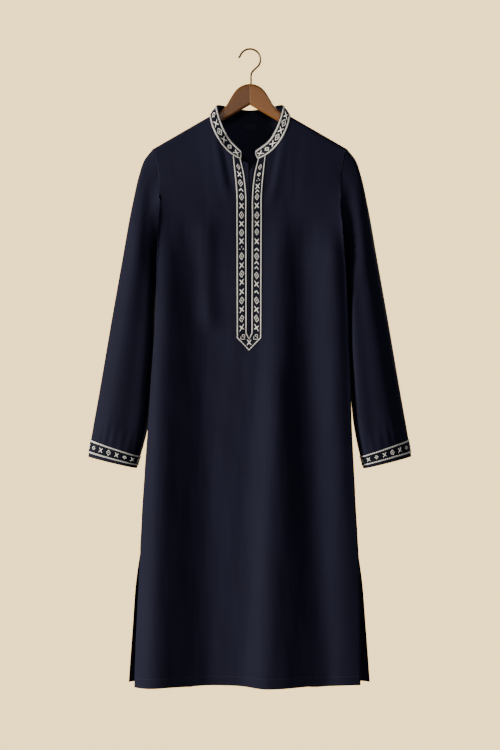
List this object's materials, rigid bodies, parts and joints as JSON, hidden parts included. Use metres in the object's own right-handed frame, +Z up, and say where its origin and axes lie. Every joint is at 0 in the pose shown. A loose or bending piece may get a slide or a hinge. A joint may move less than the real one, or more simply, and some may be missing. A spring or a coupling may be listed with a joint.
{
  "type": "kurta tunic on hanger",
  "caption": "Long straight kurta tunic with a band collar, embroidered neck, placket and cuff bands and side slits, hanging on a wooden hanger with a wire hook.",
  "frame": {"origin": "inside top of the hanger's wire hook, where a rail carries it", "axes": "+Z up, +X to the viewer's right as the front is seen, -Y towards the viewer, so the front faces -Y"},
  "size_m": [0.6504, 0.1157, 1.2732],
  "materials": {
    "navy_cloth": "woven navy cloth with a fine upright grain and a slight sheen",
    "embroidered_band": "navy band closely embroidered in off-white thread",
    "label_cloth": "plain dark woven label",
    "hanger_wood": "satin varnished warm brown wood",
    "hook_brass": "dark antique brass wire"
  },
  "bodies": {
    "root": {"front_panel": "navy_cloth", "back_panel": "navy_cloth", "sleeve_left": "navy_cloth", "sleeve_right": "navy_cloth", "collar": "navy_cloth", "placket_strip_left": "navy_cloth", "placket_strip_right": "navy_cloth", "collar_border": "embroidered_band", "cuff_border_left": "embroidered_band", "cuff_border_right": "embroidered_band", "placket_border_left": "embroidered_band", "placket_border_right": "embroidered_band", "neck_label": "label_cloth", "hanger_arm_left": "hanger_wood", "hanger_arm_right": "hanger_wood", "hanger_hook": "hook_brass"}
  },
  "joints": []
}
